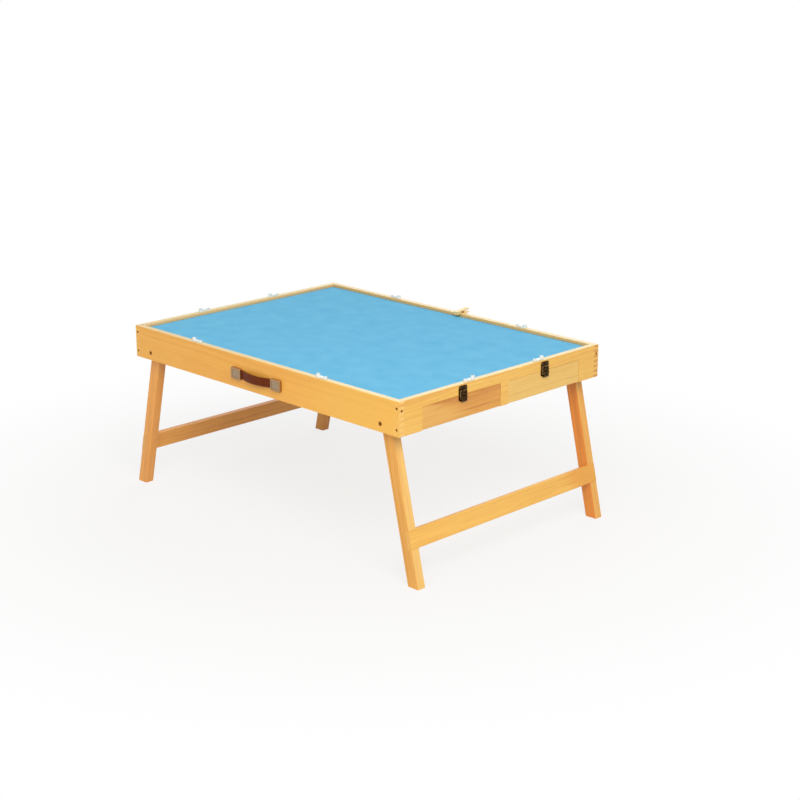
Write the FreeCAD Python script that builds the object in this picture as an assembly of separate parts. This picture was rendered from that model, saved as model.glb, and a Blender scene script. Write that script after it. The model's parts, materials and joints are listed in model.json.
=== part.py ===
import FreeCAD, Part
import math
import os

# A folding puzzle table: a felt-lined tray in a finger-jointed frame, latched drawers
# in both short ends, two leg frames that fold inwards, and a strap handle.
# Millimetres. X runs along the long sides, the handle side faces -Y, the floor is z = 0.

# Whole table
table_length = 900.0
table_width = 650.0
table_height = 410.0
frame_height = 77.0
board_thickness = 15.0
board_edge_round = 1.2
finger_count = 13
cut_overrun = 4.0
aligned_share = 0.999
wire_sides = 8

# Tray
tray_recess = 6.0
felt_thickness = 2.0
felt_edge_gap = 0.5
tray_board_thickness = 4.0
tray_groove_depth = 5.0
tray_end_gap = 0.5

# Drawer openings and runners
top_rail_height = 24.0
end_stile_width = 69.0
centre_stile_width = 24.0
runner_ledge_width = 10.0
runner_ledge_thickness = 5.0
runner_ledge_lift = 3.0
runner_web_thickness = 10.0
runner_tail = 5.0

# Drawers
drawer_depth = 260.0
drawer_front_gap = 0.75
drawer_front_lift = 1.0
drawer_front_round = 0.8
drawer_stop_gap = 0.3
drawer_ride_gap = 0.3
drawer_wall_thickness = 9.0
drawer_wall_housing = 5.0
drawer_back_drop = 4.0
drawer_floor_thickness = 3.0
drawer_floor_lift = 4.0
drawer_floor_groove = 4.0
drawer_floor_gap = 0.3

# Leg frames
leg_splay_degrees = 13.0
leg_width = 30.0
leg_thickness = 22.0
leg_edge_round = 1.5
leg_stop_gap = 0.3
pivot_from_end = 56.0
pivot_lift = 18.0
crossbar_height = 42.0
crossbar_thickness = 12.0
crossbar_edge_round = 1.0
crossbar_centre_height = 102.0
stop_block_length = 44.0
stop_block_thickness = 19.0

# Leg pivot hardware
bolt_diameter = 6.0
bolt_head_diameter = 10.0
bolt_head_height = 3.2
bolt_socket_width = 4.0
bolt_socket_depth = 2.2
bolt_end = 2.0
washer_diameter = 14.0
washer_thickness = 1.2
nut_width = 10.0
hexagon_sides = 6
nut_height = 5.5
pivot_side_play = 0.2
running_clearance = 0.08
screw_fit = 0.05

# Corner screws
corner_screw_head_diameter = 6.0
corner_screw_head_height = 2.4
corner_screw_diameter = 3.2
corner_screw_length = 34.0
long_face_screw_drop = 16.0
long_face_screw_lift = 15.0
short_face_screw_drop = 21.0

# Draw latches
latch_width = 26.0
latch_sheet = 1.0
latch_line_gap = 0.1
catch_height = 20.6
catch_corner_radius = 5.0
catch_lip_rise = 9.0
catch_lip_reach = 5.5
catch_lip_width = 9.0
catch_web_width = 2.4
catch_web_lift = 1.2
catch_web_setback = 0.6
latch_plate_height = 11.8
latch_plate_corner_radius = 3.5
latch_pin_diameter = 2.0
latch_pin_drop = 4.4
latch_pin_reach = 3.8
latch_ear_radius = 2.4
latch_ear_gap = 0.3
lever_width = 16.0
lever_tip_width = 19.6
lever_flange = 1.2
lever_knuckle_radius = 2.4
lever_drop = 15.0
lever_bend_drop = 12.0
lever_tip_reach = 4.4
lever_flange_drop = 12.6
bail_wire_diameter = 1.4
bail_bend_radius = 1.8
bail_head_radius = 4.5
bail_pivot_drop = 8.0
bail_pivot_reach = 3.4
bail_lip_gap = 0.3
bail_side_gap = 0.4

# Strap handle
handle_length = 168.0
handle_lift = 34.0
cap_length = 32.0
cap_width = 27.0
cap_depth = 7.0
cap_sheet = 1.2
cap_corner_radius = 2.5
cap_panel_inset = 5.0
cap_panel_depth = 0.6
cap_mouth_gap = 0.6
strap_width = 21.0
strap_thickness = 3.0
strap_rise = 9.5
strap_foot_radius = 30.0
strap_end_gap = 5.0
handle_screw_head_diameter = 7.0
handle_screw_head_height = 2.4
handle_screw_diameter = 3.5
handle_screw_length = 15.0

# Turn clips on the rim
long_side_clip_spacing = 428.0
short_side_clip_spacing = 227.0
clip_pivot_offset = 18.5
clip_length = 32.0
clip_boss_diameter = 9.0
clip_boss_height = 8.0
clip_tip_diameter = 7.0
clip_paddle_thickness = 3.6
clip_lug_height = 1.8
clip_lug_length = 5.0
clip_rest_gap = 0.2
clip_screw_head_diameter = 5.0
clip_screw_head_height = 2.0
clip_screw_diameter = 3.0
clip_screw_length = 18.0
clip_recess_gap = 0.3

# Picture clip on the back rim
pin_place = 25.0
pin_length = 42.0
pin_width = 12.0
pin_overhang = 12.5
pin_jaw_length = 20.0
pin_base_thickness = 4.5
pin_tail_thickness = 3.2
pin_tip_thickness = 2.5
pin_lift_degrees = 6.0
pin_jaw_gap = 0.3
pin_coil_gap = 0.3
pin_seat_end_degrees = 45.0
spring_wire_diameter = 1.2
spring_coil_radius = 2.0
spring_turns = 3.5
quarters_per_turn = 4
spring_arm_length = 9.0

# Places that follow from the sizes above
half_length = table_length / 2
half_width = table_width / 2
inner_x = half_length - board_thickness
inner_y = half_width - board_thickness
frame_bottom = table_height - frame_height
finger_pitch = frame_height / finger_count
felt_top = table_height - tray_recess
tray_top = felt_top - felt_thickness
tray_bottom = tray_top - tray_board_thickness
opening_top = table_height - top_rail_height
opening_near = centre_stile_width / 2
opening_far = half_width - end_stile_width
opening_middle = (opening_near + opening_far) / 2
ledge_bottom = frame_bottom + runner_ledge_lift
ledge_top = ledge_bottom + runner_ledge_thickness
runner_end = half_length - drawer_depth - runner_tail
runner_outer = opening_far + runner_web_thickness
pivot_x = half_length - pivot_from_end
pivot_z = frame_bottom + pivot_lift
leg_outer = inner_y - washer_thickness - pivot_side_play
leg_inner = leg_outer - leg_thickness
corner_middle_x = half_length - board_thickness / 2
corner_middle_y = half_width - board_thickness / 2
splay = math.radians(leg_splay_degrees)

os.makedirs("parts", exist_ok=True)


def point(x, y, z):
    return FreeCAD.Vector(x, y, z)


origin = point(0, 0, 0)
x_axis = point(1, 0, 0)
y_axis = point(0, 1, 0)
z_axis = point(0, 0, 1)


def save(node, *solids):
    shape = solids[0] if len(solids) == 1 else Part.makeCompound(list(solids))
    shape.exportStep("parts/" + node + ".step")


def block(low, high):
    size = [top - bottom for bottom, top in zip(low, high)]
    return Part.makeBox(size[0], size[1], size[2], point(*low))


# An outline is a list of flat points; a pair of points is an arc through the first to the second.
def outline(steps, place):
    edges = []
    here = steps[0]
    closed = isinstance(steps[-1][0], tuple) and steps[-1][1] == steps[0]
    for step in steps[1:] + ([] if closed else [steps[0]]):
        if isinstance(step[0], tuple):
            there = step[1]
            edges.append(Part.Arc(place(*here), place(*step[0]), place(*there)).toShape())
        else:
            there = step
            edges.append(Part.LineSegment(place(*here), place(*there)).toShape())
        here = there
    return Part.Face(Part.Wire(edges))


def extrude_x(steps, start, end):
    return outline(steps, lambda y, z: point(start, y, z)).extrude(point(end - start, 0, 0))


def extrude_y(steps, start, end):
    return outline(steps, lambda x, z: point(x, start, z)).extrude(point(0, end - start, 0))


def extrude_z(steps, start, end):
    return outline(steps, lambda x, y: point(x, y, start)).extrude(point(0, 0, end - start))


def circle_point(centre, radius, degrees):
    angle = math.radians(degrees)
    return (centre[0] + radius * math.cos(angle), centre[1] + radius * math.sin(angle))


# A turned piece: its profile is (radius, distance along the axis) and it points along direction.
def turned(profile, at, direction):
    face = outline(profile, lambda radius, along: point(radius, 0, along))
    shape = face.revolve(origin, z_axis, 360)
    shape.Placement = FreeCAD.Placement(at, FreeCAD.Rotation(z_axis, direction))
    return shape


def rod(radius, start, end):
    return Part.makeCylinder(radius, (end - start).Length, start, end - start)


# A wire of many-sided section that follows a path from its start, leaving along direction.
def bent_wire(path, diameter, start, direction):
    turn = FreeCAD.Rotation(z_axis, direction)
    corners = []
    for side in range(wire_sides + 1):
        across, up = circle_point((0, 0), diameter / 2, 360 / wire_sides * side)
        corners.append(start + turn.multVec(point(across, up, 0)))
    return path.makePipeShell([Part.makePolygon(corners)], True, False)


def half_turn(shape):
    other = shape.copy()
    other.rotate(origin, z_axis, 180)
    return other


def mirror_y(shape):
    return shape.mirror(origin, y_axis)


def four_corners(shape):
    other = mirror_y(shape)
    return [shape, other, half_turn(shape), half_turn(other)]


# Edges of a board that lie on the table's top and are at least as long as the given length.
def top_edges(board, shortest):
    lowest = table_height - board_edge_round
    found = []
    for edge in board.Edges:
        level = all(vertex.Point.z > lowest for vertex in edge.Vertexes)
        if level and edge.Length >= shortest:
            found.append(edge)
    return found


# Straight edges that run along a direction and are at least as long as the given length.
def edges_along(shape, direction, shortest):
    found = []
    for edge in shape.Edges:
        if isinstance(edge.Curve, Part.Line) and edge.Length >= shortest:
            if abs(edge.Curve.Direction.dot(direction)) > aligned_share:
                found.append(edge)
    return found


# Frame boards with interlocking fingers
def finger_edge(tip, root, tip_on_top):
    points = []
    for index in range(finger_count):
        edge = tip if (index % 2 == 0) == tip_on_top else root
        upper = table_height - index * finger_pitch
        points += [(edge, upper), (edge, upper - finger_pitch)]
    return points


def countersunk_screw(growth, at, direction):
    head = corner_screw_head_diameter / 2 + growth
    shank = corner_screw_diameter / 2 + growth
    end = corner_screw_length + growth
    profile = [(0, 0), (head, 0), (shank, corner_screw_head_height), (shank, end), (0, end)]
    return turned(profile, at, direction)


def corner_screws(growth):
    places = []
    for height in (table_height - long_face_screw_drop, frame_bottom + long_face_screw_lift):
        places.append((point(corner_middle_x, half_width, height), -y_axis))
    short_height = table_height - short_face_screw_drop
    places.append((point(half_length, corner_middle_y, short_height), -x_axis))
    screws = []
    for at, direction in places:
        screws += four_corners(countersunk_screw(growth, at, direction))
    return screws


def pivot_bolt(growth):
    head = bolt_head_diameter / 2 + growth
    shank = bolt_diameter / 2 + growth
    length = half_width - leg_inner + pivot_side_play + washer_thickness + nut_height + bolt_end
    profile = [(0, 0), (head, 0), (head, bolt_head_height)]
    profile += [(shank, bolt_head_height), (shank, length), (0, length)]
    return turned(profile, point(pivot_x, half_width, pivot_z), -y_axis)


# Clip pivots stand on the rim: on the handle side the boss is at the -X end of the paddle,
# on the right-hand end it is at the +Y end, and the other two sides follow by a half turn.
clip_paddle_reach = clip_length - clip_boss_diameter / 2
clip_places = []
for side in (-1, 1):
    along = side * long_side_clip_spacing / 2 - clip_pivot_offset
    clip_places.append((point(along, -corner_middle_y, table_height), 0))
for side in (-1, 1):
    along = side * short_side_clip_spacing / 2 + clip_pivot_offset
    clip_places.append((point(corner_middle_x, along, table_height), -90))
clip_places += [(point(-at.x, -at.y, at.z), angle + 180) for at, angle in clip_places]


def clip_screw(growth, at):
    head = clip_screw_head_diameter / 2
    shank = clip_screw_diameter / 2 + growth
    seat = clip_boss_height - clip_screw_head_height + clip_rest_gap
    profile = [(0, seat + clip_screw_head_height), (head, seat + clip_screw_head_height)]
    profile += [(head, seat), (shank, seat), (shank, seat - clip_screw_length)]
    profile += [(0, seat - clip_screw_length)]
    return turned(profile, at + point(0, 0, clip_rest_gap), z_axis)


handle_z = frame_bottom + handle_lift
cap_middle = (handle_length - cap_length) / 2


def handle_screw(growth, side):
    head = handle_screw_head_diameter / 2
    shank = handle_screw_diameter / 2 + growth
    seat = strap_thickness
    crown = seat + handle_screw_head_height
    profile = [(0, crown), (head, crown), (head, seat), (shank, seat)]
    profile += [(shank, crown - handle_screw_length), (0, crown - handle_screw_length)]
    return turned(profile, point(side * cap_middle, -half_width, handle_z), -y_axis)


tray_slot_x = inner_x + tray_groove_depth
tray_slot_y = inner_y + tray_groove_depth
tray_slot = block((-tray_slot_x, -tray_slot_y, tray_bottom), (tray_slot_x, tray_slot_y, tray_top))
screw_holes = corner_screws(screw_fit)
bolt_holes = four_corners(pivot_bolt(screw_fit))
clip_holes = [clip_screw(screw_fit, at) for at, angle in clip_places]

right_comb = finger_edge(half_length, inner_x, True)
left_comb = finger_edge(-half_length, -inner_x, True)
back_rail = extrude_y(right_comb + left_comb[::-1], inner_y, half_width)
back_rail = back_rail.makeFillet(board_edge_round, top_edges(back_rail, board_thickness / 2))
front_rail = half_turn(back_rail)
fixings = [tray_slot] + screw_holes + bolt_holes + clip_holes
handle_holes = [handle_screw(screw_fit, side) for side in (-1, 1)]
save("back_rail", back_rail.cut(fixings))
save("front_rail", front_rail.cut(fixings + handle_holes))

far_comb = finger_edge(half_width, inner_y, False)
near_comb = finger_edge(-half_width, -inner_y, False)
openings = []
for far, near in ((opening_far, opening_near), (-opening_near, -opening_far)):
    openings += [(far, frame_bottom), (far, opening_top), (near, opening_top), (near, frame_bottom)]
right_rail = extrude_x(far_comb + openings + near_comb[::-1], inner_x, half_length)
right_rail = right_rail.makeFillet(board_edge_round, top_edges(right_rail, inner_y))
save("right_rail", right_rail.cut(fixings))
save("left_rail", half_turn(right_rail).cut(fixings))
save("corner_screws", *corner_screws(0))

# Tray board in its grooves, felt laid on it
board_x = tray_slot_x - tray_end_gap
board_y = tray_slot_y - tray_end_gap
save("tray_board", block((-board_x, -board_y, tray_bottom), (board_x, board_y, tray_top)))
felt_x = inner_x - felt_edge_gap
felt_y = inner_y - felt_edge_gap
save("felt_mat", block((-felt_x, -felt_y, tray_top), (felt_x, felt_y, felt_top)))

# Drawer runners: battens under the tray with a channel routed for each drawer wall
far_lip = opening_near + runner_ledge_width
half_section = [(far_lip, ledge_bottom), (far_lip, ledge_top), (opening_near, ledge_top)]
half_section += [(opening_near, opening_top), (far_lip, opening_top), (far_lip, tray_bottom)]
other_half = [(-y, z) for y, z in half_section[::-1]]
centre_runner = extrude_x(half_section + other_half, runner_end, inner_x)
save("centre_runners", centre_runner, half_turn(centre_runner))
near_lip = opening_far - runner_ledge_width
side_section = [(near_lip, ledge_bottom), (near_lip, ledge_top), (opening_far, ledge_top)]
side_section += [(opening_far, opening_top), (near_lip, opening_top), (near_lip, tray_bottom)]
side_section += [(runner_outer, tray_bottom), (runner_outer, ledge_bottom)]
save("side_runners", *four_corners(extrude_x(side_section, runner_end, inner_x)))

# Drawers: front with housings for the walls, two sides and a back, and a floor in grooves
front_near = opening_near + drawer_front_gap
front_far = opening_far - drawer_front_gap
front_bottom = frame_bottom + drawer_front_lift
front_top = opening_top - drawer_front_gap
front_back_face = inner_x + drawer_stop_gap
wall_near = front_near + drawer_wall_thickness
wall_far = front_far - drawer_wall_thickness
wall_bottom = ledge_top + drawer_ride_gap
wall_front = front_back_face + drawer_wall_housing
drawer_back_end = half_length - drawer_depth
drawer_back_face = drawer_back_end + drawer_wall_thickness
floor_bottom = wall_bottom + drawer_floor_lift
floor_top = floor_bottom + drawer_floor_thickness
floor_slot = block((drawer_back_face - drawer_floor_groove, wall_near - drawer_floor_groove, floor_bottom),
                   (front_back_face + drawer_floor_groove, wall_far + drawer_floor_groove, floor_top))
near_wall = block((drawer_back_end, front_near, wall_bottom), (wall_front, wall_near, front_top))
far_wall = block((drawer_back_end, wall_far, wall_bottom), (wall_front, front_far, front_top))
back_wall = block((drawer_back_end, wall_near, wall_bottom),
                  (drawer_back_face, wall_far, front_top - drawer_back_drop))
drawer_front = block((front_back_face, front_near, front_bottom), (half_length, front_far, front_top))
face_edges = [edge for edge in drawer_front.Edges
              if all(vertex.Point.x > inner_x + board_thickness / 2 for vertex in edge.Vertexes)]
drawer_front = drawer_front.makeFillet(drawer_front_round, face_edges)
drawer_front = drawer_front.cut([near_wall, far_wall, floor_slot])
drawer_walls = [wall.cut(floor_slot) for wall in (near_wall, far_wall, back_wall)]
floor_edge = drawer_floor_groove - drawer_floor_gap
drawer_floor = block((drawer_back_face - floor_edge, wall_near - floor_edge, floor_bottom),
                     (front_back_face + floor_edge, wall_far + floor_edge, floor_top))

# Draw latch over the joint between top rail and drawer, drawn at the right-hand end.
# Reach is measured outwards from the face, drop downwards from the joint.
face_x = half_length
half_latch = latch_width / 2


def latch_at(reach, drop):
    return (face_x + reach, opening_top - drop)


def rounded_plate(low, high, radius, rounded_low):
    near = opening_middle - half_latch
    far = opening_middle + half_latch
    end, root = (low, high) if rounded_low else (high, low)
    way = 1 if rounded_low else -1
    slope = radius * (1 - math.sqrt(2) / 2)
    steps = [(near, root), (far, root), (far, end + way * radius)]
    steps += [((far - slope, end + way * slope), (far - radius, end)), (near + radius, end)]
    steps += [((near + slope, end + way * slope), (near, end + way * radius))]
    return extrude_x(steps, face_x, face_x + latch_sheet)


catch_low = opening_top + latch_line_gap
catch_plate = rounded_plate(catch_low, catch_low + catch_height, catch_corner_radius, False)
lip_top = opening_top + catch_lip_rise + latch_sheet
lip_near = opening_middle - catch_lip_width / 2
lip_far = opening_middle + catch_lip_width / 2
catch_lip = block((face_x + latch_sheet, lip_near, lip_top - latch_sheet),
                  (face_x + catch_lip_reach, lip_far, lip_top))
web_near = opening_middle - catch_web_width / 2
web_far = opening_middle + catch_web_width / 2
web_steps = [(face_x, catch_low + catch_web_lift), (face_x + latch_sheet, catch_low + catch_web_lift)]
web_steps += [(face_x + catch_lip_reach - catch_web_setback, lip_top - latch_sheet)]
web_steps += [(face_x + catch_lip_reach - catch_web_setback, lip_top), (face_x, lip_top)]
catch_web = extrude_y(web_steps, web_near, web_far)
latch_catch = catch_plate.fuse([catch_lip, catch_web]).removeSplitter()
save("latch_catches", *four_corners(latch_catch))

pin_reach, pin_height = latch_at(latch_pin_reach, latch_pin_drop)
plate_top = front_top
latch_plate = rounded_plate(plate_top - latch_plate_height, plate_top, latch_plate_corner_radius, True)
ear_base = face_x + latch_sheet
ear_low = (ear_base, pin_height - latch_ear_radius)
ear_high = (ear_base, pin_height + latch_ear_radius)
ear_steps = [ear_low, (pin_reach, ear_low[1])]
ear_steps += [((pin_reach + latch_ear_radius, pin_height), (pin_reach, ear_high[1])), ear_high]
half_lever = lever_width / 2
ear_inner = half_lever + latch_ear_gap
ear_outer = ear_inner + latch_sheet
ears = []
for side in (-1, 1):
    ears.append(extrude_y(ear_steps, opening_middle + side * ear_inner, opening_middle + side * ear_outer))
pin_rod = rod(latch_pin_diameter / 2, point(pin_reach, opening_middle - ear_outer, pin_height),
              point(pin_reach, opening_middle + ear_outer, pin_height))
latch_plate = latch_plate.fuse(ears + [pin_rod]).removeSplitter()

# Lever: a flanged thumb plate that hangs on the pin and slopes back to a wider tip
lever_face = pin_reach + lever_knuckle_radius
lever_back = lever_face - lever_flange
lever_tip = face_x + lever_tip_reach
tip_height = opening_top - lever_drop
bend_height = opening_top - lever_bend_drop
flange_height = opening_top - lever_flange_drop
knuckle_back = pin_reach - lever_knuckle_radius
lever_steps = [(knuckle_back, pin_height)]
lever_steps += [((pin_reach, pin_height + lever_knuckle_radius), (lever_face, pin_height))]
lever_steps += [(lever_face, bend_height), (lever_tip, tip_height), (lever_tip - lever_flange, tip_height)]
lever_steps.append((knuckle_back, flange_height))
half_tip = lever_tip_width / 2
lever = extrude_y(lever_steps, opening_middle - half_tip, opening_middle + half_tip)
lever_top = pin_height + lever_knuckle_radius + cut_overrun
tip_corner = half_tip - half_lever
shield_half = [(half_lever, lever_top), (half_lever, bend_height), (half_tip, tip_height + tip_corner)]
shield_half += [(half_tip - tip_corner, tip_height)]
shield = shield_half + [(-y, z) for y, z in shield_half[::-1]]
shield = [(opening_middle + y, z) for y, z in shield]
lever = lever.common(extrude_x(shield, face_x, lever_face + cut_overrun))
half_hollow = half_lever - lever_flange
hollow_steps = [(face_x, lever_top), (lever_back, lever_top), (lever_back, bend_height)]
hollow_steps += [(lever_tip - lever_flange, tip_height), (face_x, tip_height)]
lever = lever.cut(extrude_y(hollow_steps, opening_middle - half_hollow, opening_middle + half_hollow))
bail_reach, bail_foot = latch_at(bail_pivot_reach, bail_pivot_drop)
for reach, height, radius in ((pin_reach, pin_height, latch_pin_diameter / 2),
                              (bail_reach, bail_foot, bail_wire_diameter / 2)):
    hole = rod(radius + running_clearance, point(reach, opening_middle - latch_width, height),
               point(reach, opening_middle + latch_width, height))
    lever = lever.cut(hole)

# Bail: one bent wire from flange to flange, over the catch lip
bail_arm = ear_outer + bail_side_gap + bail_wire_diameter / 2
bail_head = lip_top + bail_lip_gap + bail_wire_diameter / 2
bail_end = half_hollow
bend_slope = bail_bend_radius * (1 - math.sqrt(2) / 2)
head_slope = bail_head_radius * (1 - math.sqrt(2) / 2)


def bail_point(across, height):
    return point(bail_reach, opening_middle + across, height)


def bail_line(start, end):
    return Part.LineSegment(bail_point(*start), bail_point(*end)).toShape()


def bail_arc(start, middle, end):
    return Part.Arc(bail_point(*start), bail_point(*middle), bail_point(*end)).toShape()


bail_edges = []
for side in (1, -1):
    arm = side * bail_arm
    turn = side * (bail_arm - bail_bend_radius)
    middle = side * (bail_arm - bend_slope)
    head_turn = side * (bail_arm - bail_head_radius)
    head_middle = side * (bail_arm - head_slope)
    low_turn = bail_foot + bail_bend_radius
    high_turn = bail_head - bail_head_radius
    run = [bail_line((side * bail_end, bail_foot), (turn, bail_foot))]
    run.append(bail_arc((turn, bail_foot), (middle, bail_foot + bend_slope), (arm, low_turn)))
    run.append(bail_line((arm, low_turn), (arm, high_turn)))
    run.append(bail_arc((arm, high_turn), (head_middle, bail_head - head_slope), (head_turn, bail_head)))
    if side == 1:
        run.append(bail_line((head_turn, bail_head), (-head_turn, bail_head)))
        bail_edges = run
    else:
        bail_edges += run[::-1]
bail_path = Part.Wire(Part.__sortEdges__(bail_edges))
latch_bail = bent_wire(bail_path, bail_wire_diameter, bail_point(bail_end, bail_foot), y_axis)

for index, drawer in enumerate(("right_back", "right_front", "left_front", "left_back")):
    save("drawer_front_" + drawer, four_corners(drawer_front)[index])
    save("drawer_walls_" + drawer, *[four_corners(wall)[index] for wall in drawer_walls])
    save("drawer_floor_" + drawer, four_corners(drawer_floor)[index])
    save("latch_plate_" + drawer, four_corners(latch_plate)[index])
    save("latch_lever_" + drawer, four_corners(lever)[index])
    save("latch_bail_" + drawer, four_corners(latch_bail)[index])

# Legs: splayed bars that turn on the pivot bolts. The head is rounded about the pivot on the
# folding side, and its flat outer part comes up against a stop block under the tray.
half_leg = leg_width / 2
head_radius = tray_bottom - stop_block_thickness - leg_stop_gap - pivot_z
slope_cos = math.cos(splay)
slope_sin = math.sin(splay)


# A point on the leg: across from its centre line, outwards, and up along it from the pivot.
def leg_point(across, along):
    return (pivot_x + across * slope_cos - along * slope_sin,
            pivot_z + across * slope_sin + along * slope_cos)


def leg_edge_at(across, height):
    rise = height - pivot_z
    return (pivot_x + (across - rise * slope_sin) / slope_cos, height)


head_side = leg_point(-half_leg, math.sqrt(head_radius ** 2 - half_leg ** 2))
head_top = (pivot_x, pivot_z + head_radius)
side_degrees = math.degrees(math.atan2(head_side[1] - pivot_z, head_side[0] - pivot_x))
head_middle = circle_point((pivot_x, pivot_z), head_radius, (side_degrees + 90) / 2)
leg_steps = [head_side, (head_middle, head_top), leg_edge_at(half_leg, head_top[1])]
leg_steps += [leg_edge_at(half_leg, 0), leg_edge_at(-half_leg, 0)]
leg = extrude_y(leg_steps, leg_inner, leg_outer)
leg_direction = point(-slope_sin, 0, slope_cos)
leg = leg.makeFillet(leg_edge_round, edges_along(leg, leg_direction, pivot_z / 2))
bar_along = (crossbar_centre_height - pivot_z) / slope_cos
bar_low = bar_along - crossbar_height / 2
bar_high = bar_along + crossbar_height / 2
bar_back = half_leg - crossbar_thickness
bar_steps = [leg_point(bar_back, bar_low), leg_point(half_leg, bar_low)]
bar_steps += [leg_point(half_leg, bar_high), leg_point(bar_back, bar_high)]
crossbar = extrude_y(bar_steps, -leg_outer, leg_outer)
crossbar = crossbar.makeFillet(crossbar_edge_round, edges_along(crossbar, y_axis, leg_outer))
notch_face = half_leg + cut_overrun
notch_steps = [leg_point(bar_back, bar_low), leg_point(notch_face, bar_low)]
notch_steps += [leg_point(notch_face, bar_high), leg_point(bar_back, bar_high)]
leg = leg.cut(extrude_y(notch_steps, leg_inner - cut_overrun, leg_outer + cut_overrun))
leg = leg.cut(rod(bolt_diameter / 2 + running_clearance, point(pivot_x, leg_inner - cut_overrun, pivot_z),
                  point(pivot_x, leg_outer + cut_overrun, pivot_z)))
for name, shape in zip(("right_back", "right_front", "left_front", "left_back"), four_corners(leg)):
    save("leg_" + name, shape)
save("crossbar_right", crossbar)
save("crossbar_left", half_turn(crossbar))

stop_low = tray_bottom - stop_block_thickness
stop_block = block((pivot_x - stop_block_length / 2, runner_outer, stop_low),
                   (pivot_x + stop_block_length / 2, inner_y, tray_bottom))
save("leg_stop_blocks", *four_corners(stop_block))


# Pivot bolts with a washer on each side of the leg and a nut
def hexagon(across_flats):
    radius = across_flats / 2 / math.cos(math.pi / hexagon_sides)
    corners = [360 / hexagon_sides * corner for corner in range(hexagon_sides)]
    return [circle_point((pivot_x, pivot_z), radius, degrees) for degrees in corners]


socket = extrude_y(hexagon(bolt_socket_width), half_width - bolt_socket_depth, half_width + cut_overrun)
save("pivot_bolts", *four_corners(pivot_bolt(0).cut(socket)))


def bored(shape, start, end):
    return shape.cut(rod(bolt_diameter / 2 + screw_fit, point(pivot_x, start - cut_overrun, pivot_z),
                         point(pivot_x, end + cut_overrun, pivot_z)))


inner_washer = leg_inner - pivot_side_play
washers = []
for outer in (inner_y, inner_washer):
    low = outer - washer_thickness
    disc = rod(washer_diameter / 2, point(pivot_x, low, pivot_z), point(pivot_x, outer, pivot_z))
    washers += four_corners(bored(disc, low, outer))
save("pivot_washers", *washers)
nut_outer = inner_washer - washer_thickness
nut = extrude_y(hexagon(nut_width), nut_outer - nut_height, nut_outer)
save("pivot_nuts", *four_corners(bored(nut, nut_outer - nut_height, nut_outer)))

# Strap handle: a leather strip bowed out between two pressed caps. Its line is flat under the
# caps, turns out on a foot arc, and crosses on one wide arc.
strap_reach = handle_length / 2 - cap_length
strap_turn = 2 * math.atan(strap_rise / strap_reach)
crown_radius = strap_reach / math.sin(strap_turn) - strap_foot_radius
strap_middle = strap_thickness / 2
strap_end = cap_middle + cap_length / 2 - cap_sheet - strap_end_gap


def strap_point(across, out):
    return (across, -half_width - out)


def strap_line(offset):
    foot = strap_foot_radius - offset
    crown = crown_radius + offset
    foot_centre = strap_middle + strap_foot_radius
    crown_centre = strap_middle + strap_rise - crown_radius
    half = strap_turn / 2
    join = (crown * math.sin(strap_turn), crown_centre + crown * math.cos(strap_turn))
    foot_middle = (strap_reach - foot * math.sin(half), foot_centre - foot * math.cos(half))
    start = (strap_reach, strap_middle + offset)
    top = (0, crown_centre + crown)
    return start, foot_middle, join, top


def strap_side(offset):
    start, foot_middle, join, top = strap_line(offset)
    right = [strap_point(strap_end, strap_middle + offset), strap_point(*start)]
    right.append((strap_point(*foot_middle), strap_point(*join)))
    left_join = strap_point(-join[0], join[1])
    left_start = strap_point(-start[0], start[1])
    left_middle = strap_point(-foot_middle[0], foot_middle[1])
    right += [(strap_point(*top), left_join), (left_middle, left_start)]
    right.append(strap_point(-strap_end, strap_middle + offset))
    return right


def reversed_side(steps):
    points = [step[1] if isinstance(step[0], tuple) else step for step in steps]
    back = [points[-1]]
    for index in range(len(steps) - 1, 0, -1):
        step = steps[index]
        back.append((step[0], points[index - 1]) if isinstance(step[0], tuple) else points[index - 1])
    return back


strap_steps = strap_side(strap_middle) + reversed_side(strap_side(-strap_middle))
strap = extrude_z(strap_steps, handle_z - strap_width / 2, handle_z + strap_width / 2)
save("handle_strap", strap.cut(handle_holes))
save("handle_screws", *[handle_screw(0, side) for side in (-1, 1)])

cap_low = handle_z - cap_width / 2
cap_high = handle_z + cap_width / 2
cap_face = -half_width - cap_depth
cap_left = cap_middle - cap_length / 2
cap_right = cap_middle + cap_length / 2
cap = block((cap_left, cap_face, cap_low), (cap_right, -half_width, cap_high))
cap = cap.makeFillet(cap_corner_radius, edges_along(cap, y_axis, cap_depth / 2))
rim_edges = [edge for edge in cap.Edges
             if all(vertex.Point.y < cap_face + cap_depth / 2 for vertex in edge.Vertexes)]
cap = cap.makeFillet(cap_sheet, rim_edges)
cap = cap.cut(block((cap_left + cap_sheet, cap_face + cap_sheet, cap_low + cap_sheet),
                    (cap_right - cap_sheet, -half_width + cut_overrun, cap_high - cap_sheet)))
mouth_half = strap_width / 2 + cap_mouth_gap
mouth_face = -half_width - strap_thickness - cap_mouth_gap
cap = cap.cut(block((cap_left - cut_overrun, mouth_face, handle_z - mouth_half),
                    (cap_left + cap_sheet + cap_mouth_gap, -half_width + cut_overrun, handle_z + mouth_half)))
panel = block((cap_left + cap_panel_inset, cap_face - cut_overrun, cap_low + cap_panel_inset),
              (cap_right - cap_panel_inset, cap_face + cap_panel_depth, cap_high - cap_panel_inset))
cap = cap.cut(panel)
other_cap = cap.mirror(origin, x_axis)
save("handle_caps", cap, other_cap)

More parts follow.
